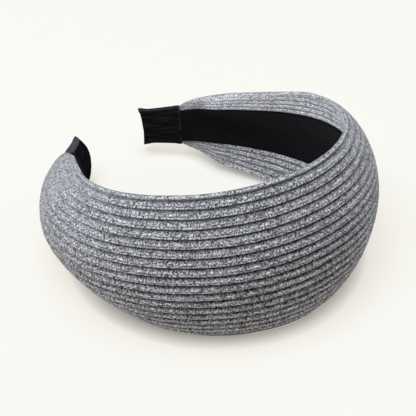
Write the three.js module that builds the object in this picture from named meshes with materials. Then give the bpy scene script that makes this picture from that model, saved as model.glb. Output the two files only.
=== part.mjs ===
// A wide padded headband covered in grey rib knit, lying on its lower edge.
// Millimetres, +Z up. The origin is on the surface, under the middle of the bounding box.
// The open end, between the two satin sleeves, points along +Y.
import * as THREE from 'three';
import { ParametricGeometry } from 'three/addons/geometries/ParametricGeometry.js';
import { mergeVertices } from 'three/addons/utils/BufferGeometryUtils.js';

// The hoop line is the middle of the band's inner face. It starts at the crown and runs to
// the free end of a sleeve, and u is the share of that half length.
const halfLength = 186.4;
const sleeveLength = 18;
const knitLength = halfLength - sleeveLength;
const hoopRows = [
  { u: 0, radius: 64.5 },
  { u: 0.25, radius: 65 },
  { u: 0.5, radius: 51.7 },
  { u: 0.75, radius: 99 },
  { u: 1, radius: 97 },
];
// The soft arms are not quite alike: the left one is bent in a little further near its end
// and leans more, and the tips turn a little differently over their sleeves.
const arms = [
  { name: 'left', side: -1, extraTurnDeg: 2.6, tipTurnDeg: -2, leanDeg: 13.5 },
  { name: 'right', side: 1, extraTurnDeg: 0, tipTurnDeg: 4, leanDeg: 10 },
];
const extraTurnFrom = 0.6;
// Both arms lean as they leave the crown, with their lower edge towards the head.
const leanFrom = 0.35;
const leanPower = 1.5;

// Knit pad: a crescent in section. Here u is the share of the knitted length. Width is across
// the band, thick is through its middle, sag is how far the two rims curl in towards the head,
// and rib is the depth of the knitted grooves.
const bandRows = [
  { u: 0, width: 68.6, thick: 7.2, sag: 9, rib: 1.3 },
  { u: 0.3, width: 64.8, thick: 7.4, sag: 10.4, rib: 1.3 },
  { u: 0.55, width: 56, thick: 9.3, sag: 13.4, rib: 1.1 },
  { u: 0.75, width: 42.3, thick: 11.9, sag: 16, rib: 0.75 },
  { u: 0.88, width: 33.8, thick: 11.8, sag: 13.3, rib: 0.5 },
  { u: 0.96, width: 25, thick: 10.3, sag: 4.8, rib: 0.35 },
  { u: 0.985, width: 21, thick: 8.3, sag: 3, rib: 0.3 },
  { u: 1, width: 17, thick: 6.2, sag: 1.8, rib: 0 },
];
const rimThick = 4;
const bowPower = 1.9;
const rimRoundPower = 5;

// Ribs run lengthwise. Their grooves keep their share of the girth, so they close up towards
// the sleeves. Shares are of the outer face, from its upper rim to its lower one.
const firstGroove = 0.031;
const grooveStep = 0.0511;
const outerGrooves = 19;
const innerRibs = 5;
const ribShoulder = 0.28;

// Lining tape: black felted tape glued along the middle of the inner face.
const tapeRows = [
  { u: 0, width: 31.9 },
  { u: 0.5, width: 25.9 },
  { u: 1, width: 14.8 },
];
const tapeThick = 1;
const tapeRecess = 0.5;
const tapeStops = 4;

// Satin sleeve over each bare end of the hoop, from its seam (k = 0) to its free end (k = 1).
// Edge and middle are its thickness at its two edges and along its middle, and lift is how far
// its middle plane lies outside the hoop line. Trim is how much narrower the inner face gets at
// each edge, hollow is how far the free end dips between its corners, and slant is how far its
// upper corner reaches ahead.
const sleeveRows = [
  { k: 0, width: 18.4, edge: 5.2, middle: 6.2, lift: 2.1 },
  { k: 0.25, width: 16.8, edge: 4.6, middle: 5.8, lift: 2.8 },
  { k: 0.6, width: 16.3, edge: 3.6, middle: 5.3, lift: 4 },
  { k: 1, width: 17.4, edge: 2.6, middle: 5.1, lift: 6.5 },
];
const sleeveTrim = 1.2;
const sleeveSlant = 0.3;
const sleeveHollow = 0.9;
const sleeveAcross = 6;
const sleeveAlong = 8;

// Rest: it lies on its lower rim, tipped until its weight is over the two places that touch,
// and its knit is pressed flat there.
const restLeanDeg = 8.8;
const crownAt = new THREE.Vector3(0, -65.3, 35);

// Air between the pieces.
const gap = 0.3;

// How finely the surfaces are cut. Stations close up towards the ends by the power.
const stationsPerArm = 23;
const stationPower = 1.3;
const hoopSteps = 400;
const outlinePoints = 28;

const rad = THREE.MathUtils.degToRad;
const clamp01 = (x) => THREE.MathUtils.clamp(x, 0, 1);

// A column of a table at u, by a smooth curve that never overshoots its rows. The curve is
// level at the first row, where one arm meets the other.
function at(rows, column, u, key = 'u') {
  const slope = (j) => (rows[j + 1][column] - rows[j][column]) / (rows[j + 1][key] - rows[j][key]);
  const tangent = (j) => {
    if (j === 0) return 0;
    if (j === rows.length - 1) return slope(j - 1);
    const before = slope(j - 1);
    const after = slope(j);
    return before * after <= 0 ? 0 : (2 * before * after) / (before + after);
  };
  let i = 0;
  while (i < rows.length - 2 && u > rows[i + 1][key]) i += 1;
  const step = rows[i + 1][key] - rows[i][key];
  const t = clamp01((u - rows[i][key]) / step);
  const rest = 1 - t;
  return (1 + 2 * t) * rest * rest * rows[i][column]
    + t * rest * rest * step * tangent(i)
    + t * t * (3 - 2 * t) * rows[i + 1][column]
    - t * t * rest * step * tangent(i + 1);
}

// Half of the hoop line, bent step by step from its radii. It turns a distance along the line
// and an offset (a across the band, b outwards from the line) into a point.
function makeArm({ side, extraTurnDeg, tipTurnDeg, leanDeg }) {
  const step = halfLength / hoopSteps;
  const tipTurn = (s) => (s > knitLength ? rad(tipTurnDeg) / sleeveLength : 0);
  const bend = (s) => Math.max(0, (s / halfLength - extraTurnFrom) / (1 - extraTurnFrom));
  const bendTotal = halfLength * (1 - extraTurnFrom) / 2;
  const nodes = [{ x: 0, y: 0, heading: 0 }];
  for (let i = 0; i < hoopSteps; i += 1) {
    const s = (i + 0.5) * step;
    const last = nodes[i];
    const turn = step * (1 / at(hoopRows, 'radius', s / halfLength) + tipTurn(s)
      + rad(extraTurnDeg) * bend(s) / bendTotal);
    const heading = last.heading + turn / 2;
    nodes.push({
      x: last.x + Math.cos(heading) * step,
      y: last.y + Math.sin(heading) * step,
      heading: last.heading + turn,
    });
  }
  return (distance, a, b) => {
    const whole = distance / step;
    const i = THREE.MathUtils.clamp(Math.floor(whole), 0, hoopSteps - 1);
    const mix = (key) => THREE.MathUtils.lerp(nodes[i][key], nodes[i + 1][key], whole - i);
    const heading = mix('heading');
    const u = distance / knitLength;
    const lean = rad(leanDeg) * clamp01((u - leanFrom) / (1 - leanFrom)) ** leanPower;
    const out = a * Math.sin(lean) + b * Math.cos(lean);
    const up = a * Math.cos(lean) - b * Math.sin(lean);
    return new THREE.Vector3(
      side * (mix('x') + Math.sin(heading) * out),
      mix('y') - Math.cos(heading) * out,
      up,
    );
  };
}

const places = Object.fromEntries(arms.map((arm) => [arm.name, makeArm(arm)]));

// The pad's outer and inner outline at u, each a curve from the upper rim to the lower one,
// in x across the band and y outwards.
function padOutlines(u) {
  const width = at(bandRows, 'width', u);
  const thick = at(bandRows, 'thick', u);
  const sag = at(bandRows, 'sag', u);
  const rim = Math.min(rimThick, thick);
  const outer = [];
  const inner = [];
  for (let i = 0; i <= outlinePoints; i += 1) {
    const v = Math.cos((Math.PI * i) / outlinePoints);
    const far = Math.abs(v);
    const across = (width / 2) * v;
    const middle = thick / 2 - sag * far ** bowPower;
    const slope = (-sag * bowPower * far ** (bowPower - 1) * Math.sign(v)) / (width / 2);
    const half = (thick + (rim - thick) * v * v) * Math.sqrt(1 - far ** rimRoundPower) / 2;
    const normal = new THREE.Vector2(-slope, 1).normalize().multiplyScalar(half);
    outer.push(new THREE.Vector2(across, middle).add(normal));
    inner.push(new THREE.Vector2(across, middle).sub(normal));
  }
  return { outer: new THREE.SplineCurve(outer), inner: new THREE.SplineCurve(inner) };
}

// A point on an outline, sunk by depth into the padding, which lies on the outer outline's
// left (1) and on the inner one's right (-1).
function sunk(curve, share, depth, padding) {
  const point = curve.getPointAt(clamp01(share));
  const tangent = curve.getTangentAt(clamp01(share));
  const normal = new THREE.Vector2(-tangent.y, tangent.x).multiplyScalar(padding);
  return point.addScaledVector(normal, depth);
}

// Share of the inner outline that lies between a rim and the edge of the tape.
function stripShare(inner, u) {
  return (1 - at(tapeRows, 'width', u) / inner.getLength()) / 2;
}

// One closed ring of the ribbed pad: down its outer face, then back up its inner one.
function padRing(u) {
  const { outer, inner } = padOutlines(u);
  const depth = at(bandRows, 'rib', u);
  const strip = stripShare(inner, u);
  const ring = [sunk(outer, 0, 0, 1)];
  for (let k = 0; k < outerGrooves; k += 1) {
    const share = firstGroove + grooveStep * k;
    ring.push(sunk(outer, share, depth, 1));
    ring.push(sunk(outer, share + ribShoulder * grooveStep, 0, 1));
    ring.push(sunk(outer, share + (1 - ribShoulder) * grooveStep, 0, 1));
  }
  ring.push(sunk(outer, 1, 0, 1));
  const stops = [];
  for (let k = 1; k <= innerRibs; k += 1) {
    const last = k === innerRibs;
    stops.push({ share: (strip * (k - 0.5)) / innerRibs, depth: 0 });
    stops.push({ share: (strip * k) / innerRibs, depth: last ? depth + tapeRecess : depth });
  }
  const under = [];
  for (let k = 1; k < tapeStops; k += 1) {
    under.push({ share: strip + ((1 - 2 * strip) * k) / tapeStops, depth: tapeRecess });
  }
  const mirrored = stops.map((stop) => ({ share: 1 - stop.share, depth: stop.depth }));
  const back = [...stops, ...under, ...mirrored.reverse()].reverse();
  back.forEach((stop) => ring.push(sunk(inner, stop.share, stop.depth, -1)));
  return ring;
}

// One closed ring of the tape: its glued face, then back along its open face.
function tapeRing(u) {
  const { inner } = padOutlines(u);
  const strip = stripShare(inner, u);
  const glued = [];
  const open = [];
  for (let k = 0; k <= tapeStops; k += 1) {
    const share = strip + ((1 - 2 * strip) * k) / tapeStops;
    glued.push(sunk(inner, share, tapeRecess - gap, -1));
    open.push(sunk(inner, share, tapeRecess - gap - tapeThick, -1));
  }
  return [...glued, ...open.reverse()];
}

// One closed ring of a sleeve, with how far each point is moved along the sleeve.
function sleeveRing(k) {
  const row = (column) => at(sleeveRows, column, k, 'k');
  const faces = { outer: [], inner: [] };
  for (let j = 0; j <= sleeveAcross; j += 1) {
    const v = 1 - (2 * j) / sleeveAcross;
    const bulge = 1 - v * v;
    const half = THREE.MathUtils.lerp(row('edge'), row('middle'), bulge) / 2;
    const shift = k * (sleeveSlant * v - sleeveHollow * bulge);
    const halfWidth = row('width') / 2;
    const innerHalfWidth = halfWidth - sleeveTrim * k * k;
    faces.outer.push({ a: v * halfWidth, b: row('lift') + half, shift });
    faces.inner.push({ a: v * innerHalfWidth, b: row('lift') - half, shift });
  }
  return [...faces.outer, ...faces.inner.reverse()];
}

// A closed body through rings that all have as many points, shut at both ends.
function bodyThrough(rings) {
  const middle = (ring) => ring
    .reduce((sum, point) => sum.add(point), new THREE.Vector3())
    .divideScalar(ring.length);
  const shut = (ring) => ring.map(() => middle(ring));
  const rows = [shut(rings[0]), ...rings, shut(rings[rings.length - 1])];
  const around = rings[0].length;
  const pick = (aroundShare, alongShare, target) => {
    const row = rows[Math.round(clamp01(alongShare) * (rows.length - 1))];
    target.copy(row[Math.round(clamp01(aroundShare) * around) % around]);
  };
  const open = new ParametricGeometry(pick, around, rows.length - 1);
  open.deleteAttribute('normal');
  open.deleteAttribute('uv');
  const merged = mergeVertices(open, 1e-4);
  const index = merged.getIndex().array;
  const kept = [];
  for (let i = 0; i < index.length; i += 3) {
    const [a, b, c] = [index[i], index[i + 1], index[i + 2]];
    if (a !== b && b !== c && c !== a) kept.push(a, b, c);
  }
  merged.setIndex(kept);
  return merged;
}

// Presses a point that would lie below the surface up onto it.
const upInHoop = new THREE.Vector3(0, -Math.sin(rad(restLeanDeg)), Math.cos(rad(restLeanDeg)));
function pressed(point) {
  const height = crownAt.z + point.dot(upInHoop);
  return height < 0 ? point.addScaledVector(upInHoop, -height) : point;
}

// Rings of a section that runs over the crown from one sleeve seam to the other.
function overTheCrown(ringAt) {
  const rings = [];
  for (let i = -stationsPerArm; i <= stationsPerArm; i += 1) {
    const u = 1 - (1 - Math.abs(i) / stationsPerArm) ** stationPower;
    const place = places[i < 0 ? 'left' : 'right'];
    rings.push(ringAt(u).map(({ x, y }) => pressed(place(u * knitLength, x, y))));
  }
  return rings;
}

// A sleeve, from just past the end of the knit. On the left the rings run the other way, so
// that its faces still point outwards.
function sleeveBody(place, side) {
  const start = knitLength + gap;
  const rings = [];
  for (let i = 0; i <= sleeveAlong; i += 1) {
    const k = i / sleeveAlong;
    const distance = THREE.MathUtils.lerp(start, halfLength, k);
    rings.push(sleeveRing(k).map(({ a, b, shift }) => place(distance + shift, a, b)));
  }
  return bodyThrough(side < 0 ? rings.reverse() : rings);
}

function meshOf(name, geometry, material) {
  const mesh = new THREE.Mesh(geometry, material);
  mesh.name = name;
  return mesh;
}

const greyKnit = new THREE.MeshStandardMaterial({ color: 0x8d8f96, roughness: 0.95, metalness: 0 });
const blackTape = new THREE.MeshStandardMaterial({ color: 0x131416, roughness: 0.9, metalness: 0 });
const blackSatin = new THREE.MeshStandardMaterial({ color: 0x1b1c1f, roughness: 0.45, metalness: 0 });

const headband = new THREE.Group();
headband.rotation.x = -rad(restLeanDeg);
headband.position.copy(crownAt);
headband.add(meshOf('knit_pad', bodyThrough(overTheCrown(padRing)), greyKnit));
headband.add(meshOf('lining_tape', bodyThrough(overTheCrown(tapeRing)), blackTape));
arms.forEach(({ name, side }) => {
  headband.add(meshOf(`end_sleeve_${name}`, sleeveBody(places[name], side), blackSatin));
});

export default headband;
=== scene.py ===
# %% [markdown]
# # A padded headband in grey rib knit
# The real thing is a flat springy hoop with foam glued round it, covered in rib knit and
# lined with a black felted tape. Each end of the hoop wears a short black satin sleeve.
# It lies on its lower rim on a pale surface. Millimetres are written in the tables and
# turned to metres when a mesh is made.

# %% Load the measured frame
import math
import bmesh
import bpy
import numpy as np
from mathutils import Matrix, Quaternion, Vector
from mathutils.noise import noise


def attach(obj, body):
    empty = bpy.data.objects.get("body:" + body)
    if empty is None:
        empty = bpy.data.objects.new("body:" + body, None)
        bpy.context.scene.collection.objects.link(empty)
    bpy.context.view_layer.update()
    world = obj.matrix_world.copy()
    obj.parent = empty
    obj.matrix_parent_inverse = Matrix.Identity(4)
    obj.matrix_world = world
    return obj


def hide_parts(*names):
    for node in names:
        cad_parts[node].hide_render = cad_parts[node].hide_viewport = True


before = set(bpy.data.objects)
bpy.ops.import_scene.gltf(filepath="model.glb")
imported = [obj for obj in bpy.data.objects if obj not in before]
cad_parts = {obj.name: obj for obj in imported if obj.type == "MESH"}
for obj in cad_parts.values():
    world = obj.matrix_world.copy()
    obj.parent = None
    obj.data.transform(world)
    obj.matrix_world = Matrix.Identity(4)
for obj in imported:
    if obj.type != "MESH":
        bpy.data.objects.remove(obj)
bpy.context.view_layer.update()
print("solids to dress:", sorted(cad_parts))

# %% [markdown]
# ## The view
# The photograph was taken with a long lens from above the left arm. The lens and the place
# come from fitting the hoop's outline, so the view is framed as the photograph is. An empty
# could be a target for the camera, but two points and a roll are easier to read.

# %% Set up the camera
CAMERA_AT = Vector((-0.25198, -0.29517, 0.31865))
LOOKS_AT = Vector((-0.00537, -0.00769, 0.02205))
CAMERA_ROLL_DEG = 1.94
LENS_MM = 98.39
SENSOR_MM = 36

camera = bpy.data.objects.new("view", bpy.data.cameras.new("view"))
bpy.context.scene.collection.objects.link(camera)
camera.data.sensor_width = SENSOR_MM
camera.data.lens = LENS_MM
camera.data.clip_start = 0.01
camera.data.dof.use_dof = False
camera.location = CAMERA_AT
camera.rotation_mode = "QUATERNION"
level = (LOOKS_AT - CAMERA_AT).to_track_quat("-Z", "Y")
camera.rotation_quaternion = level @ Quaternion((0, 0, 1), math.radians(CAMERA_ROLL_DEG))
bpy.context.scene.camera = camera
print("camera is", round((LOOKS_AT - CAMERA_AT).length, 3), "m away")

# %% [markdown]
# ## Colours and nodes
# A given colour is an sRGB hex value, and shaders count light in linear numbers.
# One function turns the first into the second. One more adds a node, sets what it is given
# and links what it is given, so that each material below reads from top to bottom.

# %% Helpers for colours and nodes
def linear(hex_colour):
    """An sRGB hex colour as the linear red, green, blue and alpha that a shader counts in."""
    channels = [int(hex_colour[i:i + 2], 16) / 255 for i in (1, 3, 5)]
    return [c / 12.92 if c <= 0.04045 else ((c + 0.055) / 1.055) ** 2.4 for c in channels] + [1]


def add(tree, kind, inputs=None, **settings):
    """A new node. A socket, or a node's first output, is linked. Any other value is set."""
    node = tree.nodes.new(kind)
    for name, value in settings.items():
        setattr(node, name, value)
    for name, value in (inputs or {}).items():
        if isinstance(value, bpy.types.Node):
            value = value.outputs[0]
        if isinstance(value, bpy.types.NodeSocket):
            tree.links.new(value, node.inputs[name])
        else:
            node.inputs[name].default_value = value
    return node


def set_ramp(node, stops):
    """Puts stops on a colour ramp, each a position and a linear colour or a grey value."""
    elements = node.color_ramp.elements
    while len(elements) < len(stops):
        elements.new(0.5)
    for element, (position, colour) in zip(elements, stops):
        element.position = position
        element.color = colour if isinstance(colour, list) else (colour, colour, colour, 1)


def new_material(name):
    """A material with an empty node tree, and that tree."""
    material = bpy.data.materials.new(name)
    material.use_nodes = True
    material.node_tree.nodes.clear()
    return material, material.node_tree


print("mid grey is", [round(c, 3) for c in linear("#808080")])

# %% [markdown]
# ## The studio
# A sheet of pale paper glows with a warm painted light, which keeps the shadows faint and
# warm. One softbox hangs high at the front left and one right over the band. Two low ones
# keep the paper even, and two weak ones lift the far side of the knit. A small card inside
# the hoop lights the inner face of the right arm, where little else gets in. A bright room
# could light it all, but then the knit would lose the shade between its ribs.

# %% Sizes of the studio
PAPER_SIDE_M = 6
SOFTBOX_SIDE_M = 0.8
SOFTBOX_AWAY_M = 1.4
# Azimuths count from the right arm towards the open end. The names are as seen by the camera.
SOFTBOXES = [
    {"name": "high softbox, front left", "azimuth_deg": 180, "height_deg": 65, "watts": 14.6},
    {"name": "top softbox", "azimuth_deg": 0, "height_deg": 90, "watts": 10.2},
    {"name": "low fill, left", "azimuth_deg": 135, "height_deg": 15, "watts": 7},
    {"name": "low fill, back right", "azimuth_deg": 0, "height_deg": 15, "watts": 8.3},
    {"name": "weak fill, right", "azimuth_deg": 315, "height_deg": 40, "watts": 1.4},
    {"name": "weak light from behind", "azimuth_deg": 50, "height_deg": 40, "watts": 2},
]
LAMP_COLOUR = "#f3f9ff"
ROOM_COLOUR = "#fdfaf6"
ROOM_STRENGTH = 0.02
INNER_CARD_AT = (0.025, 0, 0.03)
INNER_CARD_FACES = (0.042, 0, 0.065)
INNER_CARD_SIDES_M = (0.09, 0.02)
INNER_CARD_WATTS = 0.026
print(len(SOFTBOXES), "softboxes, each", SOFTBOX_AWAY_M, "m from the band")

# %% [markdown]
# The paper glows a little. The glow is painted light that stands in for the light a white
# room throws about. It fades where the band covers the paper, which paints a soft shadow
# there. A darker decal under the band could do that too, but it would have to be moved by hand
# with every change of shape.

# %% Lay the paper
PAPER_COLOUR = "#757e7f"
GLOW_COLOUR = "#fff6eb"
PAPER_GLOW = 0.738
COVER_REACH_M = 0.007
COVER_FADE = 0.75

paper_material, tree = new_material("pale paper with painted glow")
# Painted shadow: the paper's painted glow fades where the band covers it.
cover = add(tree, "ShaderNodeAmbientOcclusion", {"Distance": COVER_REACH_M}, samples=8)
glow = add(tree, "ShaderNodeMath", {0: cover.outputs["AO"], 1: PAPER_GLOW * COVER_FADE,
                                    2: PAPER_GLOW * (1 - COVER_FADE)}, operation="MULTIPLY_ADD")
shader = add(tree, "ShaderNodeBsdfPrincipled",
             {"Base Color": linear(PAPER_COLOUR), "Roughness": 0.9, "Specular IOR Level": 0.0,
              "Emission Color": linear(GLOW_COLOUR), "Emission Strength": glow})
add(tree, "ShaderNodeOutputMaterial", {"Surface": shader})

bm = bmesh.new()
bmesh.ops.create_grid(bm, x_segments=1, y_segments=1, size=PAPER_SIDE_M / 2)
paper_mesh = bpy.data.meshes.new("paper")
bm.to_mesh(paper_mesh)
bm.free()
paper = bpy.data.objects.new("paper", paper_mesh)
bpy.context.scene.collection.objects.link(paper)
paper_mesh.materials.append(paper_material)
print("paper:", PAPER_SIDE_M, "m square")

# %% [markdown]
# Area lamps act as softboxes: the wider they are, the softer the shade between two ribs. A
# sun lamp would be simpler, but its shadows have hard edges, which the photograph lacks.

# %% Hang the lights
world = bpy.data.worlds.new("dim room")
bpy.context.scene.world = world
world.use_nodes = True
background = world.node_tree.nodes["Background"]
background.inputs["Color"].default_value = linear(ROOM_COLOUR)
background.inputs["Strength"].default_value = ROOM_STRENGTH


def area_lamp(name, at_place, faces, sides_m, watts):
    """A flat lamp at one point that faces another."""
    lamp = bpy.data.lights.new(name, "AREA")
    lamp.shape = "RECTANGLE"
    lamp.size, lamp.size_y = sides_m
    lamp.energy = watts
    lamp.color = linear(LAMP_COLOUR)[:3]
    box = bpy.data.objects.new(name, lamp)
    bpy.context.scene.collection.objects.link(box)
    box.location = at_place
    box.rotation_mode = "QUATERNION"
    box.rotation_quaternion = (Vector(faces) - box.location).to_track_quat("-Z", "Y")
    return box


def softbox(name, azimuth_deg, height_deg, watts):
    """A softbox on a dome round the band, turned to its middle."""
    azimuth, height = math.radians(azimuth_deg), math.radians(height_deg)
    on_dome = Vector((math.cos(azimuth) * math.cos(height),
                      math.sin(azimuth) * math.cos(height),
                      math.sin(height)))
    sides = (SOFTBOX_SIDE_M, SOFTBOX_SIDE_M)
    area_lamp(name, SOFTBOX_AWAY_M * on_dome, (0, 0, 0), sides, watts)


for facts in SOFTBOXES:
    softbox(**facts)
card = area_lamp("fill card in the opening", INNER_CARD_AT, INNER_CARD_FACES, INNER_CARD_SIDES_M,
                 INNER_CARD_WATTS)
card.visible_camera = False
bpy.context.scene.view_settings.view_transform = "Standard"

# %% [markdown]
# ## The hoop line
# Everything on the band hangs from one line: the middle of its inner face, from the crown
# to the free end of a sleeve. It is bent step by step from a short table of radii. The left
# arm is bent in a little more than the right, and both lean as they leave the crown. A
# bezier curve with a curve modifier could carry the sections, but it can't lean an arm and
# press the knit flat on the paper, so one small function gives every place on the band. In
# the tables u runs from 0 at the crown to 1 at the end of the knit.

# %% Tables of the hoop, in millimetres
HALF_LENGTH = 186.4
SLEEVE_LENGTH = 18
KNIT_LENGTH = HALF_LENGTH - SLEEVE_LENGTH
HOOP_ROWS = [
    {"u": 0, "radius": 64.5},
    {"u": 0.25, "radius": 65},
    {"u": 0.5, "radius": 51.7},
    {"u": 0.75, "radius": 99},
    {"u": 1, "radius": 97},
]
ARMS = {
    "left": {"side": -1, "extra_turn_deg": 2.6, "tip_turn_deg": -2, "lean_deg": 13.5},
    "right": {"side": 1, "extra_turn_deg": 0, "tip_turn_deg": 4, "lean_deg": 10},
}
EXTRA_TURN_FROM = 0.6
LEAN_FROM = 0.35
LEAN_POWER = 1.5
REST_LEAN_DEG = 8.8
CROWN_AT = Vector((0, -65.3, 35))
MM = 0.001
print("each half of the band is", HALF_LENGTH, "mm long, of which the sleeve is", SLEEVE_LENGTH)

# %% [markdown]
# A size between two rows of a table lies on a smooth curve that never swings past the rows.
# Straight steps would show as kinks in the rim, and a looser curve would bulge between rows.

# %% Read a table between its rows
def at(rows, column, u, key="u"):
    """A column of a table at u, by a smooth curve through its rows."""
    def slope(j):
        return (rows[j + 1][column] - rows[j][column]) / (rows[j + 1][key] - rows[j][key])

    def tangent(j):
        if j == 0:
            return 0
        if j == len(rows) - 1:
            return slope(j - 1)
        before, after = slope(j - 1), slope(j)
        return 0 if before * after <= 0 else 2 * before * after / (before + after)

    i = 0
    while i < len(rows) - 2 and u > rows[i + 1][key]:
        i += 1
    step = rows[i + 1][key] - rows[i][key]
    t = min(max((u - rows[i][key]) / step, 0), 1)
    rest = 1 - t
    return ((1 + 2 * t) * rest * rest * rows[i][column]
            + t * rest * rest * step * tangent(i)
            + t * t * (3 - 2 * t) * rows[i + 1][column]
            - t * t * rest * step * tangent(i + 1))


print("radius half way along an arm:", round(at(HOOP_ROWS, "radius", 0.5), 1), "mm")

# %% [markdown]
# Each arm is walked in short steps that turn a little, as a hoop is bent over a former. The
# result is a list of places that every section below can stand on.

# %% Bend both arms
HOOP_STEPS = 400


def bent_line(side, extra_turn_deg, tip_turn_deg, lean_deg):
    """x, y and heading along an arm, seen from above the hoop."""
    step = HALF_LENGTH / HOOP_STEPS
    bend_total = HALF_LENGTH * (1 - EXTRA_TURN_FROM) / 2
    line = [(0, 0, 0)]
    for i in range(HOOP_STEPS):
        share = (i + 0.5) / HOOP_STEPS
        bend = max(0, (share - EXTRA_TURN_FROM) / (1 - EXTRA_TURN_FROM))
        tip_turn = tip_turn_deg / SLEEVE_LENGTH if share * HALF_LENGTH > KNIT_LENGTH else 0
        turn = step * (1 / at(HOOP_ROWS, "radius", share) + math.radians(tip_turn)
                       + math.radians(extra_turn_deg) * bend / bend_total)
        x, y, heading = line[-1]
        middle = heading + turn / 2
        line.append((x + math.cos(middle) * step, y + math.sin(middle) * step, heading + turn))
    return np.array(line)


LINES = {name: bent_line(**arm) for name, arm in ARMS.items()}
print("arms reach", [round(line[-1][1], 1) for line in LINES.values()], "mm back from the crown")

# %% [markdown]
# A point on the band has a place along an arm, a place across the band and a height out from
# the hoop line. The band then leans back by a few degrees, as it lies on its lower rim, and
# what would sink into the paper is pressed flat on it.

# %% Place a point on an arm and lay it on the paper
def place(arm, distance, across, out):
    """The point at a distance along an arm, across the band and out from the hoop line."""
    line, facts = LINES[arm], ARMS[arm]
    whole = distance / (HALF_LENGTH / HOOP_STEPS)
    i = min(max(int(whole), 0), HOOP_STEPS - 1)
    x, y, heading = line[i] + (line[i + 1] - line[i]) * (whole - i)
    lean_share = min(max((distance / KNIT_LENGTH - LEAN_FROM) / (1 - LEAN_FROM), 0), 1)
    lean = math.radians(facts["lean_deg"]) * lean_share ** LEAN_POWER
    outwards = across * math.sin(lean) + out * math.cos(lean)
    up = across * math.cos(lean) - out * math.sin(lean)
    return Vector((facts["side"] * (x + math.sin(heading) * outwards),
                   y - math.cos(heading) * outwards,
                   up))


LAY_DOWN = Matrix.Rotation(-math.radians(REST_LEAN_DEG), 4, "X")


def on_paper(point):
    """Lays a point of the hoop down on the paper, in metres, and never under it."""
    down = (LAY_DOWN @ point + CROWN_AT) * MM
    down.z = max(down.z, 0)
    return down


print("right tip at", [round(c, 4) for c in on_paper(place("right", HALF_LENGTH, 0, 0))])

# %% [markdown]
# ## The ribbed pad
# The knit is a ribbed tube pulled over foam, so its section is a crescent whose rims curl in
# towards the head. A flat grid, rolled up round that crescent and welded, gives a clean tube
# whose columns follow the ribs and whose UV map counts them. A plain tube with the ribs as a
# bump would be lighter, but its outline and its shadows would stay smooth. The table gives
# the crescent's width, thickness and sag, and how deep the ribs are.

# %% Tables of the pad's section, in millimetres
BAND_ROWS = [
    {"u": 0, "width": 68.6, "thick": 7.2, "sag": 9, "rib": 1.45},
    {"u": 0.3, "width": 64.8, "thick": 7.4, "sag": 10.4, "rib": 1.45},
    {"u": 0.55, "width": 56, "thick": 9.3, "sag": 13.4, "rib": 0.85},
    {"u": 0.75, "width": 42.3, "thick": 11.9, "sag": 16, "rib": 0.45},
    {"u": 0.88, "width": 33.8, "thick": 11.8, "sag": 13.3, "rib": 0.25},
    {"u": 0.96, "width": 25, "thick": 10.3, "sag": 4.8, "rib": 0.15},
    {"u": 0.985, "width": 21.6, "thick": 9, "sag": 3, "rib": 0.12},
    {"u": 1, "width": 18.8, "thick": 7.6, "sag": 1.8, "rib": 0.1},
]
RIM_THICK = 4
BOW_POWER = 1.9
RIM_ROUND_POWER = 5
TAPE_ROWS = [
    {"u": 0, "width": 31.9},
    {"u": 0.5, "width": 25.9},
    {"u": 1, "width": 14.8},
]
TAPE_RECESS = 0.5
OUTLINE_POINTS = 160


def outlines(u):
    """Outer and inner outline of the crescent, each from the upper rim to the lower one."""
    width, thick, sag = (at(BAND_ROWS, column, u) for column in ("width", "thick", "sag"))
    rim = min(RIM_THICK, thick)
    v = np.cos(np.linspace(0, math.pi, OUTLINE_POINTS + 1))
    far = np.abs(v)
    middle = thick / 2 - sag * far ** BOW_POWER
    slope = -sag * BOW_POWER * far ** (BOW_POWER - 1) * np.sign(v) / (width / 2)
    half = (thick + (rim - thick) * v * v) * np.sqrt(1 - far ** RIM_ROUND_POWER) / 2
    long = np.hypot(slope, 1)
    outer = np.stack([width / 2 * v - slope / long * half, middle + half / long], 1)
    inner = np.stack([width / 2 * v + slope / long * half, middle - half / long], 1)
    return outer, inner


def lengths_along(points):
    """How far each point lies along the line through all of them."""
    return np.concatenate([[0], np.cumsum(np.hypot(*np.diff(points, axis=0).T))])


print("girth at the crown:", round(sum(lengths_along(o)[-1] for o in outlines(0)), 1), "mm")

# %% [markdown]
# Ribs are counted from the first ditch under the upper rim: 18 on the outer face, one over
# the lower rim, 4 up to the tape, 2 hidden under it, 4 more, and one over the upper rim. Real
# ribs never end on the way, so each keeps its share of the girth all along the band.

# %% Where each rib lies round the girth
RIBS_ROUND = 30
OUTER_RIBS = 18
LOWER_TAPE_EDGE = 23
UPPER_TAPE_EDGE = 25
STRIP_RIBS = 5
FIRST_DITCH = 0.0335
DITCH_STEP = 0.0511
NEAR_BY = 0.05


def girth(u, ribs):
    """Section points and outward normals at these rib counts."""
    outer, inner = outlines(u)
    loop = np.concatenate([outer, inner[-2::-1]])
    way = lengths_along(loop)
    outer_long = lengths_along(outer)[-1]
    inner_long = way[-1] - outer_long
    strip = (inner_long - at(TAPE_ROWS, "width", u)) / 2
    stops = [0, OUTER_RIBS, OUTER_RIBS + 1, LOWER_TAPE_EDGE, UPPER_TAPE_EDGE,
             RIBS_ROUND - 1, RIBS_ROUND]
    places = [outer_long * FIRST_DITCH,
              outer_long * (FIRST_DITCH + DITCH_STEP * OUTER_RIBS),
              outer_long + strip / STRIP_RIBS,
              outer_long + strip,
              way[-1] - strip,
              way[-1] - strip / STRIP_RIBS,
              way[-1] + outer_long * FIRST_DITCH]
    wanted = np.interp(ribs % RIBS_ROUND, stops, places) % way[-1]
    point, ahead, behind = (
        np.stack([np.interp((wanted + shift) % way[-1], way, loop[:, i]) for i in (0, 1)], 1)
        for shift in (0, NEAR_BY, -NEAR_BY))
    tangent = ahead - behind
    normal = np.stack([tangent[:, 1], -tangent[:, 0]], 1) / np.hypot(*tangent.T)[:, None]
    return point, normal


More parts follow.
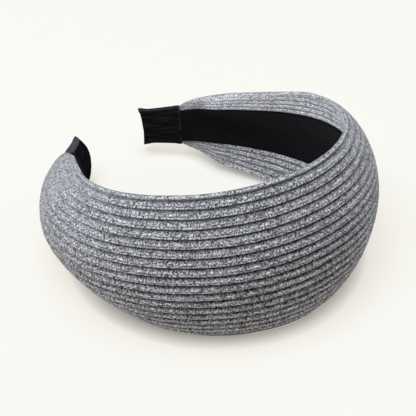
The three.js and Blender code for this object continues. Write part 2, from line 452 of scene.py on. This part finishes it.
four_places = girth(0, np.array([0, 9, 18.5, 24]))[0]
print("four places round the crown:", four_places.round(1).tolist())

# %% [markdown]
# Shares run from the ditch above a rib to the ditch below it. Each rib is a broad roll of
# knit stitches and a narrow one. It rises slowly out of the upper ditch, has a crease at two
# thirds and drops steeply into the lower ditch. Nine columns are enough for that.

# %% Where the columns of one rib lie
RIB_COLUMNS = [
    {"share": 0, "height": 0},
    {"share": 0.06, "height": 0.36},
    {"share": 0.18, "height": 0.66},
    {"share": 0.32, "height": 0.87},
    {"share": 0.46, "height": 1},
    {"share": 0.58, "height": 0.98},
    {"share": 0.67, "height": 0.84},
    {"share": 0.79, "height": 0.95},
    {"share": 0.93, "height": 0.6},
]
COUNTS = np.array([rib + column["share"] for rib in range(RIBS_ROUND) for column in RIB_COLUMNS]
                  + [RIBS_ROUND])
HEIGHTS = np.array([column["height"] for column in RIB_COLUMNS] * RIBS_ROUND + [0])
COLUMNS = len(COUNTS) - 1
STATIONS = 364
print(COLUMNS, "columns round the pad,", STATIONS, "stations along it")

# %% [markdown]
# Real ditches wander a little, stitches lean over them, and the foam is soft and lumpy. Slow
# waves come from smooth noise, and stitch by stitch jags from seeded chance, so that every
# run gives the same band. Round the right bend the knit is drawn tighter, and its ribs grow
# shallower. Sculpting by hand could do all this, but a script can't repeat a hand.

# %% How uneven the knit is
DITCH_WANDER = 0.04
DITCH_JAGS = 0.03
DITCH_REACH = 0.1
RIB_UNEVEN = 0.12
SOFT_LUMPS = 0.14
STITCH_LUMPS = 0.035
INNER_RIB_DEPTH = 0.85
INNER_FADE_POWER = 6
TIGHT_FROM = 0.05
TIGHT_AT = 0.24
TIGHT_RIB_SHARE = 0.42
WANDER_WAVES = {"long_mm": 14, "per_rib": 0.35, "layer": 3.1}
DEPTH_WAVES = {"long_mm": 6, "per_rib": 0.9, "layer": 7.7}
LUMP_WAVES = {"long_mm": 17, "per_rib": 0.22, "layer": 1.3}

under_tape = (COUNTS >= LOWER_TAPE_EDGE) & (COUNTS <= UPPER_TAPE_EDGE)
tape_edge = (COUNTS == LOWER_TAPE_EDGE) | (COUNTS == UPPER_TAPE_EDGE)
in_a_ditch = np.abs(COUNTS - np.round(COUNTS)) < DITCH_REACH
inner_ribs = (COUNTS > OUTER_RIBS) & (COUNTS < RIBS_ROUND - 1)
rng = np.random.default_rng(3)
jags, knots = rng.uniform(-1, 1, (2, STATIONS + 1, COLUMNS + 1))
print(int(in_a_ditch.sum()), "of the columns lie in a ditch or on its edge")

# %% [markdown]
# Each station of the grid becomes one ring round the girth: its points are placed by rib
# count, moved in or out by the height of their column, and laid on the paper with the arm.
# Under the tape the pad is pressed flat. The UV map keeps the rib count of every column.

# %% Roll a grid into the ribbed pad
def waves(counts, signed_distance, long_mm, per_rib, layer):
    """Smooth noise at these rib counts, in waves of a set length along the band."""
    return np.array([noise((signed_distance / long_mm, c * per_rib, layer)) for c in counts])


def knit_ring(row):
    """One ring of the pad, counted from the end of the left arm."""
    signed_distance = KNIT_LENGTH * (2 * row / STATIONS - 1)
    arm = "left" if signed_distance < 0 else "right"
    distance = abs(signed_distance)
    u = distance / KNIT_LENGTH
    wander = waves(np.round(COUNTS), signed_distance, **WANDER_WAVES)
    moved = DITCH_WANDER * wander + DITCH_JAGS * jags[row] * in_a_ditch
    moved[under_tape] = 0
    moved[-1] = moved[0]
    point, normal = girth(u, COUNTS + moved)
    uneven = 1 + RIB_UNEVEN * waves(COUNTS, signed_distance, **DEPTH_WAVES)
    lumps = waves(COUNTS, signed_distance, **LUMP_WAVES)
    tight = np.interp(signed_distance / KNIT_LENGTH, [TIGHT_FROM, TIGHT_AT], [1, TIGHT_RIB_SHARE])
    depth = np.where(inner_ribs, INNER_RIB_DEPTH * (1 - u ** INNER_FADE_POWER),
                     at(BAND_ROWS, "rib", u) * tight)
    height = SOFT_LUMPS * lumps + STITCH_LUMPS * knots[row] - depth * uneven * (1 - HEIGHTS)
    height[under_tape] = -TAPE_RECESS
    height[tape_edge] -= depth[tape_edge]
    height[-1] = height[0]
    section = point + normal * height[:, None]
    return [on_paper(place(arm, distance, across, out)) for across, out in section]


bm = bmesh.new()
uv_layer = bm.loops.layers.uv.new("knit")
bmesh.ops.create_grid(bm, x_segments=COLUMNS, y_segments=STATIONS, size=0.5, calc_uvs=True)
rings = [knit_ring(row) for row in range(STATIONS + 1)]
for face in bm.faces:
    for loop in face.loops:
        column = round((loop.vert.co.x + 0.5) * COLUMNS)
        loop[uv_layer].uv.x = COUNTS[column] / RIBS_ROUND
for vert in bm.verts:
    column = round((vert.co.x + 0.5) * COLUMNS)
    station = round((vert.co.y + 0.5) * STATIONS)
    vert.co = rings[station][column]
bmesh.ops.remove_doubles(bm, verts=bm.verts, dist=1e-6)
print("knit tube:", len(bm.verts), "points,", len(bm.faces), "faces")

# %% [markdown]
# The ends of the tube go into the satin sleeves. Each open edge is extruded, drawn in and
# pushed a little further along the hoop, then filled, so the knit looks tucked in.

# %% Tuck the knit's ends in
TUCK_MM = 1.6
TUCK_SHRINK = 0.72
HOOP_MIDDLE_MM = 2


def open_loops(bm):
    """Edges on the open ends, the left end first."""
    edges = [e for e in bm.edges if e.is_boundary]
    return [[e for e in edges if (e.verts[0].co.x < 0) == left] for left in (True, False)]


for arm, edges in zip(("left", "right"), open_loops(bm)):
    made = bmesh.ops.extrude_edge_only(bm, edges=edges)["geom"]
    lip = [g for g in made if isinstance(g, bmesh.types.BMVert)]
    centre = sum((v.co for v in lip), Vector()) / len(lip)
    inside = on_paper(place(arm, KNIT_LENGTH + TUCK_MM, 0, HOOP_MIDDLE_MM))
    before = on_paper(place(arm, KNIT_LENGTH, 0, HOOP_MIDDLE_MM))
    for vert in lip:
        vert.co = centre + (vert.co - centre) * TUCK_SHRINK + (inside - before)
    bmesh.ops.holes_fill(bm, edges=[g for g in made if isinstance(g, bmesh.types.BMEdge)], sides=0)
bmesh.ops.recalc_face_normals(bm, faces=bm.faces)
print("the pad is closed:", not any(e.is_boundary for e in bm.edges))

# %% [markdown]
# Every piece ends the same way: its bmesh becomes an object at the origin, takes its material
# and rides on the one body that the band has. Its faces are smoothed, as cloth has no facets.

# %% Helper: from bmesh to finished piece
def finished_piece(bm, name, material):
    """Turns a bmesh into an object at the origin that rides on the band."""
    mesh = bpy.data.meshes.new(name)
    bm.to_mesh(mesh)
    bm.free()
    mesh.materials.append(material)
    mesh.shade_smooth()
    piece = bpy.data.objects.new(name, mesh)
    bpy.context.scene.collection.objects.link(piece)
    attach(piece, "root")
    return piece


print("pieces will ride on the body root")

# %% [markdown]
# ### Heather rib knit
# The yarn is a soft acrylic and wool blend, spun from dark and light fibres, so each stitch
# has its own grey. Knit stitches are small V shapes stacked along a rib, in rows 0.38 mm
# apart and columns, or wales, of half a millimetre. The pattern counts ribs and rows on the UV
# map, so it follows every bend. Over each rib a painted shade darkens the ditches and a painted
# highlight lightens the crests, on top of the real shade from the folds of the mesh. A bump
# could not do that: it has no depth to hide light in. On both arms the painted shade grows
# weaker, as the ribs do.

# %% Painted shade and highlight over one rib, and along the band from its left end
# Painted shade in each ditch and painted highlight on each crest, as factors on the knit's colour.
PAINTED_RIB_SHADES = [
    {"share": 0, "shade": 0.22},
    {"share": 0.08, "shade": 0.3},
    {"share": 0.2, "shade": 0.44},
    {"share": 0.35, "shade": 0.78},
    {"share": 0.47, "shade": 1.19},
    {"share": 0.55, "shade": 1.15},
    {"share": 0.61, "shade": 0.95},
    {"share": 0.67, "shade": 0.48},
    {"share": 0.73, "shade": 0.95},
    {"share": 0.79, "shade": 1.5},
    {"share": 0.87, "shade": 1.3},
    {"share": 0.95, "shade": 0.5},
    {"share": 1, "shade": 0.22},
]
# How strong the painted shade and highlight are along the band, from its left end.
PAINTED_SHADE_STRENGTH = [
    {"along": 0.05, "strength": 0.05},
    {"along": 0.125, "strength": 0.2},
    {"along": 0.2, "strength": 0.5},
    {"along": 0.27, "strength": 0.85},
    {"along": 0.34, "strength": 1},
    {"along": 0.53, "strength": 1},
    {"along": 0.58, "strength": 0.8},
    {"along": 0.64, "strength": 0.65},
    {"along": 0.78, "strength": 0.35},
    {"along": 0.95, "strength": 0.05},
]
INNER_PAINTED_SHADE_STRENGTH = 0.85
DITCH_RAGGED = 0.12
print("darkest shade between two ribs:", min(stop["shade"] for stop in PAINTED_RIB_SHADES))

# %% [markdown]
# The stitches are counted from the UV map: wales across a rib and rows along the band. The
# whole part of a count names the stitch and the rest is the place within it. A picture of
# knitting could be tiled instead, but it would stretch where the band narrows.

# %% Material: heather rib knit
WALES_PER_RIB = 8
MORE_WALES_OVER_A_RIM = 6
LEG_SLANT = 1.1
ROW_MM = 0.38
ROWS_LONG = 2 * KNIT_LENGTH / ROW_MM

knit, tree = new_material("heather rib knit")
uv = add(tree, "ShaderNodeUVMap", uv_map="knit")
apart = add(tree, "ShaderNodeSeparateXYZ", {"Vector": uv})
rib = add(tree, "ShaderNodeMath", {0: apart.outputs["X"], 1: RIBS_ROUND}, operation="MULTIPLY")
# The ribs over the two rims are wider, so they hold more wales.
over_lower = add(tree, "ShaderNodeMath", {0: rib, 1: OUTER_RIBS},
                 operation="SUBTRACT", use_clamp=True)
over_upper = add(tree, "ShaderNodeMath", {0: rib, 1: RIBS_ROUND - 1},
                 operation="SUBTRACT", use_clamp=True)
over_rims = add(tree, "ShaderNodeMath", {0: over_lower, 1: over_upper}, operation="ADD")
more_wales = add(tree, "ShaderNodeMath", {0: over_rims, 1: MORE_WALES_OVER_A_RIM},
                 operation="MULTIPLY")
wale = add(tree, "ShaderNodeMath", {0: rib, 1: WALES_PER_RIB, 2: more_wales},
           operation="MULTIPLY_ADD")
row = add(tree, "ShaderNodeMath", {0: apart.outputs["Y"], 1: ROWS_LONG}, operation="MULTIPLY")

# Each stitch is two slanting legs that meet in the middle of a wale.
wale_share = add(tree, "ShaderNodeMath", {0: wale}, operation="FRACT")
from_middle = add(tree, "ShaderNodeMath", {0: wale_share, 1: 0.5}, operation="SUBTRACT")
leg = add(tree, "ShaderNodeMath", {0: from_middle}, operation="ABSOLUTE")
slant = add(tree, "ShaderNodeMath", {0: leg, 1: LEG_SLANT, 2: row}, operation="MULTIPLY_ADD")
row_share = add(tree, "ShaderNodeMath", {0: slant}, operation="FRACT")
row_count = add(tree, "ShaderNodeMath", {0: slant}, operation="FLOOR")
wale_count = add(tree, "ShaderNodeMath", {0: wale}, operation="FLOOR")
two_legs = add(tree, "ShaderNodeMath", {0: wale, 1: 2}, operation="MULTIPLY")
leg_share = add(tree, "ShaderNodeMath", {0: two_legs}, operation="FRACT")
leg_round = add(tree, "ShaderNodeMath", {0: leg_share, 1: math.pi}, operation="MULTIPLY")
leg_arch = add(tree, "ShaderNodeMath", {0: leg_round}, operation="SINE")
row_round = add(tree, "ShaderNodeMath", {0: row_share, 1: math.pi}, operation="MULTIPLY")
row_arch = add(tree, "ShaderNodeMath", {0: row_round}, operation="SINE")
stitch = add(tree, "ShaderNodeMath", {0: leg_arch, 1: row_arch}, operation="MULTIPLY")
print("stitches:", WALES_PER_RIB, "wales to a rib and", round(ROWS_LONG), "rows along the band")

# %% [markdown]
# The heather look is a sum of four things: a chance grey for each stitch, finer fibres, long
# hairs that lie along the ribs, and a slow mottle. A ramp turns the sum into three greys.
# The fibres are a fiftieth of a millimetre thick, which is too fine to show. They are drawn
# 0.3 mm apart, at 3400 waves to the metre, and the mottle is about 17 mm wide.

# %% Heather tones
KNIT_TONES = [
    {"at": 0.5, "colour": "#323136"},
    {"at": 0.775, "colour": "#a4a3a8"},
    {"at": 1.0, "colour": "#f6f4f8"},
]
STITCH_WEIGHT = 0.55
FIBRE_WEIGHT = 0.85
HAIR_WEIGHT = 0.05
MOTTLE_WEIGHT = 0.05
LIFT = 0.017
FIBRE_WAVES_PER_M = 3400
MOTTLE_WAVES_PER_M = 60
HAIR_STRETCH = (2.2, 0.1, 1)

cell = add(tree, "ShaderNodeCombineXYZ", {"X": wale_count, "Y": row_count})
chance = add(tree, "ShaderNodeTexWhiteNoise", {"Vector": cell}, noise_dimensions="2D")
coordinates = add(tree, "ShaderNodeTexCoord")
fibre = add(tree, "ShaderNodeTexNoise",
            {"Vector": coordinates.outputs["Object"], "Scale": FIBRE_WAVES_PER_M,
             "Detail": 2, "Roughness": 0.7})
on_cloth = add(tree, "ShaderNodeCombineXYZ", {"X": wale, "Y": row})
along_rib = add(tree, "ShaderNodeVectorMath", {0: on_cloth, 1: HAIR_STRETCH}, operation="MULTIPLY")
hairs = add(tree, "ShaderNodeTexNoise",
            {"Vector": along_rib, "Scale": 1, "Detail": 2, "Roughness": 0.6})
mottle = add(tree, "ShaderNodeTexNoise",
             {"Vector": coordinates.outputs["Object"], "Scale": MOTTLE_WAVES_PER_M, "Detail": 1})
stitch_part = add(tree, "ShaderNodeMath", {0: chance, 1: STITCH_WEIGHT, 2: LIFT},
                  operation="MULTIPLY_ADD")
fibre_part = add(tree, "ShaderNodeMath", {0: fibre, 1: FIBRE_WEIGHT, 2: stitch_part},
                 operation="MULTIPLY_ADD")
hair_part = add(tree, "ShaderNodeMath", {0: hairs, 1: HAIR_WEIGHT, 2: fibre_part},
                operation="MULTIPLY_ADD")
heather = add(tree, "ShaderNodeMath", {0: mottle, 1: MOTTLE_WEIGHT, 2: hair_part},
              operation="MULTIPLY_ADD")
tones = add(tree, "ShaderNodeValToRGB", {"Fac": heather})
set_ramp(tones, [(tone["at"], linear(tone["colour"])) for tone in KNIT_TONES])
print("heather runs from", KNIT_TONES[0]["colour"], "to", KNIT_TONES[-1]["colour"])

# %% [markdown]
# The painted shade of the ditches is ragged, because single stitches lean over them. It grows
# weaker towards both arms, but keeps its strength on the inner face, where the ribs lie close.

# %% Painted shade and highlight between the ribs, relief and shader
ragged = add(tree, "ShaderNodeMath", {0: chance, 1: DITCH_RAGGED, 2: rib}, operation="MULTIPLY_ADD")
centred = add(tree, "ShaderNodeMath", {0: ragged, 1: DITCH_RAGGED / 2}, operation="SUBTRACT")
rib_share = add(tree, "ShaderNodeMath", {0: centred}, operation="FRACT")
# The painted shade and highlight across each rib is multiplied into the heather.
painted_rib_shade = add(tree, "ShaderNodeValToRGB", {"Fac": rib_share})
set_ramp(painted_rib_shade, [(stop["share"], stop["shade"]) for stop in PAINTED_RIB_SHADES])
strength = add(tree, "ShaderNodeValToRGB", {"Fac": apart.outputs["Y"]})
set_ramp(strength, [(stop["along"], stop["strength"]) for stop in PAINTED_SHADE_STRENGTH])
past_lower = add(tree, "ShaderNodeMath", {0: rib, 1: OUTER_RIBS + 1}, operation="GREATER_THAN")
before_upper = add(tree, "ShaderNodeMath", {0: rib, 1: RIBS_ROUND - 1}, operation="LESS_THAN")
inside = add(tree, "ShaderNodeMath", {0: past_lower, 1: before_upper}, operation="MULTIPLY")
painted_shade_by = add(tree, "ShaderNodeMix", {0: inside, 2: strength, 3: INNER_PAINTED_SHADE_STRENGTH})
knit_with_painted_shade = add(tree, "ShaderNodeMix", {0: painted_shade_by, 6: tones, 7: painted_rib_shade},
             data_type="RGBA", blend_type="MULTIPLY")

# Wool and acrylic scatter light from many loose fibres: rough, hardly any gloss, some sheen.
FIBRE_RELIEF = 0.5
relief = add(tree, "ShaderNodeMath", {0: fibre, 1: FIBRE_RELIEF, 2: stitch},
             operation="MULTIPLY_ADD")
bump = add(tree, "ShaderNodeBump", {"Height": relief, "Strength": 0.8, "Distance": 0.00025})
shader = add(tree, "ShaderNodeBsdfPrincipled",
             {"Base Color": knit_with_painted_shade.outputs[2], "Roughness": 0.95, "Specular IOR Level": 0.15,
              "Sheen Weight": 0.1, "Sheen Roughness": 0.5, "Normal": bump})
add(tree, "ShaderNodeOutputMaterial", {"Surface": shader})

pad = finished_piece(bm, "knitted_pad", knit)
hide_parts("knit_pad")
print("pad:", len(pad.data.polygons), "faces")

# %% [markdown]
# ## The lining tape
# A strip of black felted tape is glued along the middle of the inner face. It was cut so
# that it tapers towards both ends, and its edges are a little ragged. It is a flat grid laid
# along the hoop, thickened afterwards. Painting the pad black there would be quicker, but
# then the tape would have no edge to catch the light.

# %% Lay the tape
TAPE_THICK = 0.9
TAPE_LIFT = 0.25
TAPE_COLUMNS = 14
TAPE_STEPS = 340
TAPE_TUCK = 2.5
RAGGED_MM = 0.18
RAGGED_LONG_MM = 1.7
RAGGED_LAYER = 5.5
EDGE_LAYERS = (0, 9)
SWELL_MM = 0.08
SWELL_LONG_MM = 9
SWELL_ACROSS = 4
SWELL_LAYER = 2.2


def tape_ring(signed_distance):
    """A line of points across the tape, from its lower to its upper edge."""
    arm = "left" if signed_distance < 0 else "right"
    distance = abs(signed_distance)
    u = min(distance / KNIT_LENGTH, 1)
    share = np.linspace(0, 1, TAPE_COLUMNS + 1)
    count = LOWER_TAPE_EDGE + (UPPER_TAPE_EDGE - LOWER_TAPE_EDGE) * share
    point, normal = girth(u, count)
    ragged = [RAGGED_MM * noise((signed_distance / RAGGED_LONG_MM, edge, RAGGED_LAYER))
              for edge in EDGE_LAYERS]
    reach = point[-1] - point[0]
    reach /= np.hypot(*reach)
    point[0] -= reach * ragged[0]
    point[-1] += reach * ragged[1]
    swell = SWELL_MM * waves(share, signed_distance, SWELL_LONG_MM, SWELL_ACROSS, SWELL_LAYER)
    section = point + normal * (TAPE_LIFT - TAPE_RECESS + TAPE_THICK + swell)[:, None]
    return [on_paper(place(arm, distance, across, out)) for across, out in section]


bm = bmesh.new()
bm.loops.layers.uv.new("tape")
bmesh.ops.create_grid(bm, x_segments=TAPE_COLUMNS, y_segments=TAPE_STEPS, size=0.5,
                      calc_uvs=True)
tape_reach = KNIT_LENGTH + TAPE_TUCK
rings = [tape_ring(tape_reach * (2 * step / TAPE_STEPS - 1)) for step in range(TAPE_STEPS + 1)]
for vert in bm.verts:
    column = round((vert.co.x + 0.5) * TAPE_COLUMNS)
    step = round((vert.co.y + 0.5) * TAPE_STEPS)
    vert.co = rings[step][column]
bmesh.ops.recalc_face_normals(bm, faces=bm.faces)

# The bare face must look towards the head before the strip gets its thickness.
crown = on_paper(Vector((0, 0, 0)))
middle_face = min(bm.faces, key=lambda face: (face.calc_center_median() - crown).length)
if middle_face.normal.y < 0:
    bmesh.ops.reverse_faces(bm, faces=bm.faces)
bmesh.ops.solidify(bm, geom=bm.faces[:], thickness=TAPE_THICK * MM)
print("tape:", len(bm.faces), "faces")

# %% [markdown]
# ### Felted tape
# Polyester felt is matt and drinks up light. A fine fibre noise breaks its surface, and the
# softest sheen comes from fibres that stand up. Felt fibres are 0.02 mm thick, too fine to
# show, and are drawn 0.7 mm apart, at 1400 waves to the metre.

# %% Material: black felted tape
FELT_WAVES_PER_M = 1400

felt, tree = new_material("black felted tape")
coordinates = add(tree, "ShaderNodeTexCoord")
fibres = add(tree, "ShaderNodeTexNoise",
             {"Vector": coordinates.outputs["Object"], "Scale": FELT_WAVES_PER_M,
              "Detail": 4, "Roughness": 0.7})
tones = add(tree, "ShaderNodeValToRGB", {"Fac": fibres})
set_ramp(tones, [(0.35, linear("#09090a")), (0.75, linear("#19191c"))])
bump = add(tree, "ShaderNodeBump", {"Height": fibres, "Strength": 0.5, "Distance": 0.0002})
shader = add(tree, "ShaderNodeBsdfPrincipled",
             {"Base Color": tones.outputs["Color"], "Roughness": 1.0, "Specular IOR Level": 0.0,
              "Sheen Weight": 0.02, "Sheen Roughness": 0.6, "Normal": bump})
add(tree, "ShaderNodeOutputMaterial", {"Surface": shader})

tape = finished_piece(bm, "felt_tape", felt)
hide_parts("lining_tape")
# Flat, it is a strip as wide as its widest place. Its area is less, because it tapers.
tape_mean_width = np.mean([at(TAPE_ROWS, "width", u) for u in np.linspace(0, 1, 200)])
print("tape: mean width", round(float(tape_mean_width), 1), "mm,", 2 * tape_reach, "mm long")

# %% [markdown]
# ## The satin sleeves
# Each bare hoop end is pushed into a small sewn pocket of black satin. It is flat, with two
# pointed corners at the free end and lengthwise creases where the cloth is drawn over the
# hoop. A grid rolled into a tube and closed at the free end makes the pocket, and a thin
# wall is given to it last. A cloth simulation could pull it tight, but the creases of such a
# small pocket are easier to place. In the tables k runs from 0 at the knit to 1 at the free
# end. The left tip is fuller, with its inner corner pulled down. The right one has two ears
# and a turned hem. The upper edge of each sleeve gets a painted sheen, full on the left one
# and weaker on the right one.

# %% Tables of a sleeve, in millimetres
SLEEVE_ROWS = [
    {"k": 0, "width": 17.7, "edge": 5, "middle": 5.6, "lift": 2.1},
    {"k": 0.06, "width": 17.7, "edge": 5, "middle": 5.8, "lift": 2.2},
    {"k": 0.2, "width": 17.1, "edge": 4.8, "middle": 5.8, "lift": 2.7},
    {"k": 0.6, "width": 16.7, "edge": 3.4, "middle": 5.2, "lift": 4},
    {"k": 0.9, "width": 16.8, "edge": 2.5, "middle": 5, "lift": 5.9},
    {"k": 1, "width": 16.8, "edge": 2.2, "middle": 4.9, "lift": 6.5},
]
# One column gives how strong the painted sheen on the upper edge is.
SLEEVE_TIPS = {
    "left": {"fuller": 1.4, "bulge": 1.4, "corner_dip": 1.8, "ears": 0, "hem": 0,
             "painted_edge_sheen": 1, "seed": 4.4},
    "right": {"fuller": 0, "bulge": 0, "corner_dip": 0, "ears": 1.3, "hem": 0.25,
              "painted_edge_sheen": 0.3, "seed": 8.1},
}
SLEEVE_START = KNIT_LENGTH + 0.3
SATIN_WALL = 0.45
FULLER_POWER = 0.6
SLEEVE_TRIM = 1.2
SLEEVE_SLANT = 0.3
SLEEVE_HOLLOW = 1
EAR_POWER = 6
DIP_POWER = 4
FACE_POWER = 8
EDGE_ROUND = 0.45
CREASE, CREASE_FADE = 0.3, 0.5
CREASE_ACROSS, CREASE_ALONG, CREASE_ROUND = 4.2, 0.9, 3
PUCKER, PUCKER_ENDS_AT = 0.28, 0.45
PUCKER_ACROSS, PUCKER_ROUND, PUCKER_LAYER = 9, 4.5, 3
EARS_AT, EARS_LONG = 0.95, 0.1
HEM_AT, HEM_LONG = 0.05, 0.014
FOLD, FOLD_AT, FOLD_LONG = 0.25, 0.92, 0.03
# A painted highlight runs along the hem by the knit.
PAINTED_HEM_HIGHLIGHT, PAINTED_HEM_HIGHLIGHT_AT, PAINTED_HEM_HIGHLIGHT_LONG = 0.4, 0.02, 0.02
FACE_COLUMNS = 26
EDGE_COLUMNS = 8
SLEEVE_STEPS = 64
print("a sleeve is", SLEEVE_ROWS[0]["width"], "mm wide at the knit")

# %% [markdown]
# A ring runs round the pocket: across its outer face, round the lower edge, back across the
# inner face and over the upper edge. Bell curves along the sleeve raise the ears, press in
# the hem and fold the tip, and smooth noise lays the creases and the puckers by the knit.

# %% Work out one ring of a sleeve
def bell(k, middle, long):
    """1 at the middle, falling off softly on both sides."""
    return math.exp(-((k - middle) / long) ** 2)


def sleeve_ring(arm, k):
    """One ring of a sleeve: its outer face, lower edge, inner face and upper edge."""
    width, edge, middle, lift = (at(SLEEVE_ROWS, column, k, "k")
                                 for column in ("width", "edge", "middle", "lift"))
    tip = SLEEVE_TIPS[arm]
    edge += tip["fuller"] * k ** FULLER_POWER
    width += tip["ears"] * bell(k, EARS_AT, EARS_LONG)
    hem = tip["hem"] * bell(k, HEM_AT, HEM_LONG)
    fold = FOLD * bell(k, FOLD_AT, FOLD_LONG)
    ring = []
    faces = [("outer", 1, v) for v in np.linspace(1, -1, FACE_COLUMNS + 1)]
    faces += [("edge", b, -1) for b in np.linspace(1, -1, EDGE_COLUMNS + 1)[1:-1]]
    faces += [("inner", -1, v) for v in np.linspace(-1, 1, FACE_COLUMNS + 1)]
    faces += [("edge", b, 1) for b in np.linspace(-1, 1, EDGE_COLUMNS + 1)[1:-1]]
    for face, b, v in faces:
        bulge = 1 - v * v
        half = (edge + (middle - edge) * bulge) / 2
        half_width = width / 2 - SLEEVE_TRIM * k * k * (1 - b) / 2
        shift = k * (SLEEVE_SLANT * v - SLEEVE_HOLLOW * (1 - abs(v) ** EAR_POWER))
        shift -= tip["corner_dip"] * k * k * (1 - b) / 2 * max(v, 0) ** DIP_POWER
        half += tip["bulge"] * k * bulge * (1 - b) / 2
        crease_at = (v * CREASE_ACROSS, k * CREASE_ALONG + b * CREASE_ROUND, tip["seed"])
        crease = CREASE * (1 - CREASE_FADE * k) * noise(crease_at)
        pucker_at = (v * PUCKER_ACROSS, b * PUCKER_ROUND, tip["seed"] + PUCKER_LAYER)
        pucker = PUCKER * max(0, 1 - k / PUCKER_ENDS_AT) * noise(pucker_at)
        swell = crease + pucker - hem - fold
        if face == "edge":
            rounded = (EDGE_ROUND * (1 - b * b) + swell * (1 - b * b)) * v
            ring.append((half_width * v + rounded, lift + b * half, shift))
        else:
            ring.append((half_width * v, lift + b * (half + swell * (1 - v ** FACE_POWER)), shift))
    distance = SLEEVE_START + (HALF_LENGTH - SLEEVE_START) * k
    return [on_paper(place(arm, distance + shift, a, b)) for a, b, shift in ring]


print("free corner of the left sleeve:", [round(c, 4) for c in sleeve_ring("left", 1)[0]])

# %% [markdown]
# One value goes along with every point of the mesh: how much painted sheen it gets, as a
# painted highlight along the hem by the knit and a painted sheen over the upper edge. The
# material reads it, so the painted sheen follows the cloth. The free end is filled before the
# normals are made to agree, and the wall comes last.

# %% Roll a grid into a sleeve
FREE_END_M = 0.0125
FREE_END_HEIGHT_MM = 5


def sleeve(arm):
    """The pocket of one arm, as a bmesh."""
    around = 2 * (FACE_COLUMNS + 1) + 2 * (EDGE_COLUMNS - 1)
    bm = bmesh.new()
    bm.loops.layers.uv.new("satin")
    bmesh.ops.create_grid(bm, x_segments=around, y_segments=SLEEVE_STEPS, size=0.5,
                          calc_uvs=True)
    rings = [sleeve_ring(arm, row / SLEEVE_STEPS) for row in range(SLEEVE_STEPS + 1)]
    # How much painted sheen or painted highlight each point gets, at the hem and over the upper
    # edge.
    painted_sheen = bm.verts.layers.float.new("painted_sheen")
    for vert in bm.verts:
        column = round((vert.co.x + 0.5) * around) % around
        step = round((vert.co.y + 0.5) * SLEEVE_STEPS)
        hem_highlight = PAINTED_HEM_HIGHLIGHT * bell(step / SLEEVE_STEPS, PAINTED_HEM_HIGHLIGHT_AT, PAINTED_HEM_HIGHLIGHT_LONG)
        edge_sheen = SLEEVE_TIPS[arm]["painted_edge_sheen"] * (column > around - EDGE_COLUMNS)
        vert[painted_sheen] = max(hem_highlight, edge_sheen)
        vert.co = rings[step][column]
    bmesh.ops.remove_doubles(bm, verts=bm.verts, dist=1e-6)
    free = on_paper(place(arm, HALF_LENGTH, 0, FREE_END_HEIGHT_MM))
    rim = [e for e in bm.edges if e.is_boundary and (e.verts[0].co - free).length < FREE_END_M]
    bmesh.ops.holes_fill(bm, edges=rim, sides=0)
    bmesh.ops.recalc_face_normals(bm, faces=bm.faces)
    bmesh.ops.solidify(bm, geom=bm.faces[:], thickness=SATIN_WALL * MM)
    return bm


print("a sleeve has", SLEEVE_STEPS, "steps from the knit to its free end")

# %% [markdown]
# ### Black satin
# Polyester satin has long floating threads that lie side by side along the sleeve. They are
# 0.1 mm apart, too fine to show, and are drawn 0.4 to 0.5 mm apart. The upper edge gets a
# painted sheen in greyer, streaked tones, the hem by the knit a thin painted highlight, and
# the rest of the black faint painted streaks of sheen. The specular level is 0, and these
# painted streaks stand in for the gloss. An anisotropic gloss would suit harder light.

# %% Material: black satin
STREAKS_ROUND = (90, 1.5, 1)
THREADS_ROUND = (110, 6, 1)

satin, tree = new_material("black satin")
uv = add(tree, "ShaderNodeUVMap", uv_map="satin")
painted_sheen = add(tree, "ShaderNodeAttribute", attribute_name="painted_sheen")
streaks_uv = add(tree, "ShaderNodeVectorMath", {0: uv, 1: STREAKS_ROUND}, operation="MULTIPLY")
streaks = add(tree, "ShaderNodeTexNoise",
              {"Vector": streaks_uv, "Scale": 1, "Detail": 2, "Roughness": 0.6})
# Paler streaked tones for the painted sheen, and black with faint painted streaks of sheen.
painted_sheen_tones = add(tree, "ShaderNodeValToRGB", {"Fac": streaks})
set_ramp(painted_sheen_tones, [(0.35, linear("#2a2a2d")), (0.65, linear("#58585c"))])
black_tones = add(tree, "ShaderNodeValToRGB", {"Fac": streaks})
set_ramp(black_tones, [(0.45, linear("#0e0e0f")), (0.75, linear("#262629"))])
# Points with more painted sheen take the paler tones.
cloth = add(tree, "ShaderNodeMix", {0: painted_sheen.outputs["Fac"], 6: black_tones, 7: painted_sheen_tones},
            data_type="RGBA")
threads_uv = add(tree, "ShaderNodeVectorMath", {0: uv, 1: THREADS_ROUND}, operation="MULTIPLY")
threads = add(tree, "ShaderNodeTexNoise",
              {"Vector": threads_uv, "Scale": 1, "Detail": 2, "Roughness": 0.5})
bump = add(tree, "ShaderNodeBump", {"Height": threads, "Strength": 0.4, "Distance": 0.0002})
shader = add(tree, "ShaderNodeBsdfPrincipled",
             {"Base Color": cloth.outputs[2], "Roughness": 0.45, "Specular IOR Level": 0.0,
              "Normal": bump})
add(tree, "ShaderNodeOutputMaterial", {"Surface": shader})
print("pale streaks and threads once round:", STREAKS_ROUND[0], "and", THREADS_ROUND[0])

# %% [markdown]
# Both hoop ends are dressed by the same steps. A mirrored copy would be quicker, but no two
# pockets crease alike once they are pulled over a hoop end.

# %% Dress both hoop ends
# Flat, each is a rectangle: once round the hoop end by the length of the sleeve.
for arm in ARMS:
    piece = finished_piece(sleeve(arm), f"satin_sleeve_{arm}", satin)
    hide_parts(f"end_sleeve_{arm}")
    print(piece.name, len(piece.data.polygons), "faces")
